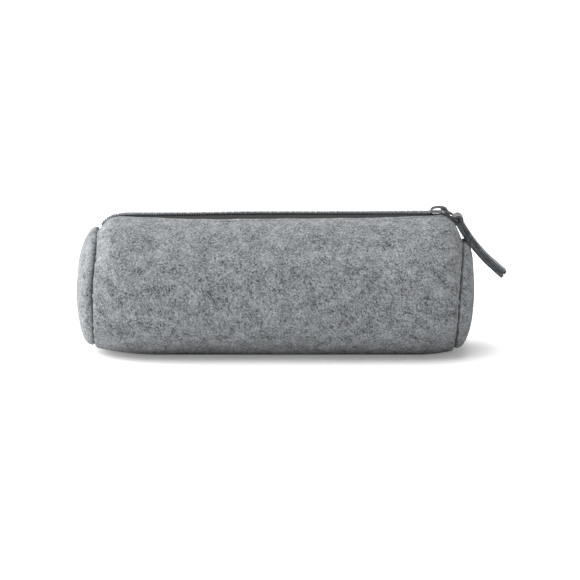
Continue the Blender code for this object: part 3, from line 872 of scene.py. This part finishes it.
def strap():
    path = np.array(strap_path())
    tangent = np.gradient(path, axis=0)
    tangent /= np.linalg.norm(tangent, axis=1, keepdims=True)
    normal = np.stack([-tangent[:, 2], np.zeros(len(path)), tangent[:, 0]], -1)
    across = np.linspace(-1, 1, 21)
    grid_y = np.broadcast_to(across * STRAP_HALF_WIDTH, (len(path), len(across)))
    centre = np.broadcast_to(path[:, None, :], (*grid_y.shape, 3)).copy()
    centre[..., 1] = grid_y
    normals = np.broadcast_to(normal[:, None, :], centre.shape)
    rounded = 1 - 0.22 * np.abs(across) ** 8
    thickness = FELT * np.broadcast_to(rounded, grid_y.shape) * 0.97
    fuzzy = 0.00010 * waves(centre, 41, 0.006)
    centre = centre + normals * fuzzy[..., None]
    made = thick_sheet("strap_felt", centre + normals * (thickness / 2)[..., None], normals, thickness, felt)
    made.data.materials.append(cut_felt_and_shade)
    shape = bmesh.new()
    shape.from_mesh(made.data)
    bmesh.ops.recalc_face_normals(shape, faces=shape.faces)
    # Faces that turn sideways take the darker cut-edge felt, which is partly painted shade.
    for face in shape.faces:
        if abs(face.normal.y) > 0.8 or len({round(abs(v.co.y), 5) for v in face.verts}) == 1 and abs(face.normal.y) > 0.5:
            face.material_index = 1
    shape.to_mesh(made.data)
    shape.free()
    return made


pull = strap()
print(pull.name, triangles(pull), "triangles")

# %% [markdown]
# ## Loose fibres
#
# What tells felt from painted board is its nap: short wool fibres that stand off the surface and soften
# every outline. A Geometry Nodes tree scatters a bent, three-sided fibre over a surface, turns each one
# a random way and lays most of them nearly flat.

# %%


def nap_tree():
    tree = bpy.data.node_groups.new("nap of loose fibres", "GeometryNodeTree")
    interface = tree.interface
    interface.new_socket("Geometry", in_out="INPUT", socket_type="NodeSocketGeometry")
    interface.new_socket("Fibre", in_out="INPUT", socket_type="NodeSocketObject")
    interface.new_socket("Density", in_out="INPUT", socket_type="NodeSocketFloat")
    interface.new_socket("Shortest", in_out="INPUT", socket_type="NodeSocketFloat")
    interface.new_socket("Longest", in_out="INPUT", socket_type="NodeSocketFloat")
    interface.new_socket("Seed", in_out="INPUT", socket_type="NodeSocketInt")
    interface.new_socket("Material", in_out="INPUT", socket_type="NodeSocketMaterial")
    interface.new_socket("Geometry", in_out="OUTPUT", socket_type="NodeSocketGeometry")
    given = add(tree, "NodeGroupInput").outputs
    roots = add(
        tree, "GeometryNodeDistributePointsOnFaces", Mesh=given["Geometry"], Density=given["Density"],
        Seed=given["Seed"],
    )
    size = add(tree, "FunctionNodeRandomValue", {"data_type": "FLOAT"}, Seed=given["Seed"])
    tree.links.new(given["Shortest"], size.inputs[2])
    tree.links.new(given["Longest"], size.inputs[3])
    unit = add(tree, "GeometryNodeObjectInfo", Object=given["Fibre"])
    standing = add(
        tree, "FunctionNodeAlignRotationToVector", {"axis": "Z"}, Vector=roots.outputs["Normal"]
    )
    copies = add(
        tree, "GeometryNodeInstanceOnPoints", Points=roots.outputs["Points"], Instance=unit.outputs["Geometry"],
        Rotation=standing.outputs["Rotation"], Scale=size.outputs[1],
    )
    spin = add(tree, "FunctionNodeRandomValue", {"data_type": "FLOAT_VECTOR"}, Seed=given["Seed"])
    spin.inputs[0].default_value = (0.0, 0.0, 0.0)
    spin.inputs[1].default_value = (0.0, 0.0, 2 * pi)
    lean = add(tree, "FunctionNodeRandomValue", {"data_type": "FLOAT_VECTOR"}, Seed=given["Seed"])
    lean.inputs[0].default_value = (0.0, 0.55, 0.0)
    lean.inputs[1].default_value = (0.0, 1.50, 0.0)
    turned = add(tree, "GeometryNodeRotateInstances", Instances=copies.outputs["Instances"], Rotation=spin.outputs[0])
    laid = add(tree, "GeometryNodeRotateInstances", Instances=turned.outputs["Instances"], Rotation=lean.outputs[0])
    real = add(tree, "GeometryNodeRealizeInstances", Geometry=laid.outputs["Instances"])
    painted = add(tree, "GeometryNodeSetMaterial", Geometry=real.outputs["Geometry"], Material=given["Material"])
    add(tree, "NodeGroupOutput", Geometry=painted.outputs["Geometry"])
    return tree


NAP = nap_tree()


def fibre_unit():
    """A bent fibre 1 m long before scaling, thinner than it is long by 1 to 45."""
    path = [(0.10 * sin(2.2 * t), 0.06 * sin(3.4 * t + 0.4), t - 0.05) for t in (0.0, 0.35, 0.7, 1.0)]
    made = tube("fibre", path, 0.026, sides=3)
    return made


def nap(name, surface, density, shortest, longest, seed, chosen=None):
    """Fibres over a copy of a surface. chosen keeps only the faces whose middle it accepts."""
    carrier = bpy.data.objects.new(name + "_ground", surface.data.copy())
    bpy.context.scene.collection.objects.link(carrier)
    if chosen:
        shape = bmesh.new()
        shape.from_mesh(carrier.data)
        dropped = [face for face in shape.faces if not chosen(face.calc_center_median(), face.normal)]
        bmesh.ops.delete(shape, geom=dropped, context="FACES")
        shape.to_mesh(carrier.data)
        shape.free()
    modifier = carrier.modifiers.new("nap", "NODES")
    modifier.node_group = NAP
    values = {
        "Fibre": one_fibre, "Density": density, "Shortest": shortest, "Longest": longest, "Seed": seed,
        "Material": fibre,
    }
    for item in NAP.interface.items_tree:
        if item.in_out == "INPUT" and item.name in values:
            modifier[item.identifier] = values[item.name]
    made = plain_mesh(carrier, name)
    made.data.shade_smooth()
    return made


def outside_of_wrap(centre, normal):
    across = Vector((0.0, centre.y, centre.z - 0.0369))
    return across.dot(normal) > 0.3 * across.length and centre.z > 0.002


one_fibre = fibre_unit()
print("one fibre has", triangles(one_fibre), "triangles")
naps = {}
for side in ("front", "back"):
    naps[side] = nap(f"nap_{side}", wraps[side], 4.0e5, 0.0006, 0.0017, 5, outside_of_wrap)
for side, sign in (("left", -1), ("right", 1)):
    naps[side] = nap(
        f"nap_{side}", discs[side], 4.0e5, 0.0006, 0.0016, 6, lambda centre, normal, s=sign: normal.x * s > 0.15
    )
naps["strap"] = nap("nap_strap", pull, 5.0e5, 0.0005, 0.0012, 7)
bury(one_fibre)
bury(stitch)
for made in naps.values():
    print(made.name, triangles(made), "triangles")

# %% [markdown]
# ## Riding and replacing
#
# The end pieces, the slider's casting, the ring and the strap now ride on their bodies; the pieces of the
# wrap and the zip only have their transforms baked. Each stands for the nodes it dresses. The frame's own
# meshes stay where they are for collision.

# %%
for side in ("front", "back"):
    for made in (wraps[side], tapes[side], coils[side], zip_threads[side], naps[side]):
        opens_with(made)
    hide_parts(f"zip_tape_{side}")
    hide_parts(f"zip_coil_{side}")
    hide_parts(f"{side}_zip_thread")
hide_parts("felt_front", "felt_base")
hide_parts("felt_back")
for side in ("left", "right"):
    for made in (discs[side], seam_threads[side], naps[side]):
        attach(made, "case")
    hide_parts(f"{side}_end_disc")
    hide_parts(f"{side}_seam_thread")
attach(casting, "slider")
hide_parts("zip_slider")
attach(ring, "ring")
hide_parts("pull_ring")
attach(pull, "strap")
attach(naps["strap"], "strap")
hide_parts("pull_strap")

# %% [markdown]
# ## Studio
#
# A white floor, a broad soft light above and to the left, a big soft one from the left, a weak one low in
# front and to the left, and a white sky that only the camera sees at full strength. The camera is a long lens a
# little above the table, as for a catalogue.

# %%


def studio():
    floor_paint, tree, shader = new_material("white studio floor, matt paint")
    where = add(tree, "ShaderNodeTexCoord").outputs["Object"]
    grain = add(tree, "ShaderNodeTexNoise", Vector=where, Scale=30.0, Detail=2.0)
    colour = ramp(tree, grain.outputs["Fac"], 0.3, 0.7, (0.93, 0.93, 0.93, 1), (0.94, 0.94, 0.94, 1))
    tree.links.new(colour, shader.inputs["Base Color"])
    shader.inputs["Roughness"].default_value = 0.9
    shader.inputs["Specular IOR Level"].default_value = 0.1
    seen = add(tree, "ShaderNodeLightPath").outputs["Is Camera Ray"]
    lifted = add(tree, "ShaderNodeMapRange", Value=seen, To_Min=0.0, To_Max=0.22)
    shader.inputs["Emission Color"].default_value = (1, 1, 1, 1)
    tree.links.new(lifted.outputs["Result"], shader.inputs["Emission Strength"])
    floor = mesh_object("floor", [(-4, -4, 0), (4, -4, 0), (4, 4, 0), (-4, 4, 0)], [(0, 1, 2, 3)], floor_paint)
    lights = (
        ("top", "SUN", (-0.45, -0.12, 1.25), radians(70), 3.9),
        ("left", "AREA", (-1.15, 0.22, 0.45), 0.9, 19.0),
        ("front", "AREA", (-0.52, -0.48, 0.05), 0.4, 0.5),
    )
    for name, kind, spot, size, power in lights:
        lamp = bpy.data.lights.new(name, kind)
        if kind == "SUN":
            lamp.angle = size
        else:
            lamp.shape = "DISK"
            lamp.size = size
        lamp.energy = power
        made = bpy.data.objects.new(name, lamp)
        made.location = spot
        made.rotation_mode = "QUATERNION"
        made.rotation_quaternion = (Vector((0, 0, 0.03)) - Vector(spot)).to_track_quat("-Z", "Y")
        bpy.context.scene.collection.objects.link(made)
    world = bpy.data.worlds.new("studio")
    bpy.context.scene.world = world
    world.use_nodes = True
    tree = world.node_tree
    seen = add(tree, "ShaderNodeLightPath").outputs["Is Camera Ray"]
    sky = tree.nodes["Background"]
    sky.inputs["Color"].default_value = (1, 1, 1, 1)
    strength = add(tree, "ShaderNodeMapRange", Value=seen, To_Min=0.33, To_Max=1.0)
    tree.links.new(strength.outputs["Result"], sky.inputs["Strength"])


CAMERA_TARGET, CAMERA_DISTANCE, CAMERA_HEIGHT_ANGLE = Vector((0.0076, 0.0, 0.0329)), 1.4, radians(12)
SPAN = 0.3091


def camera():
    lens = bpy.data.cameras.new("camera")
    lens.sensor_width = 36.0
    lens.lens = 36.0 * CAMERA_DISTANCE / SPAN
    made = bpy.data.objects.new("camera", lens)
    bpy.context.scene.collection.objects.link(made)
    back = Vector((0, -cos(CAMERA_HEIGHT_ANGLE), sin(CAMERA_HEIGHT_ANGLE)))
    made.location = CAMERA_TARGET + back * CAMERA_DISTANCE
    made.rotation_euler = (pi / 2 - CAMERA_HEIGHT_ANGLE, 0, 0)
    bpy.context.scene.camera = made


studio()
camera()
bpy.context.scene.view_settings.view_transform = "Standard"
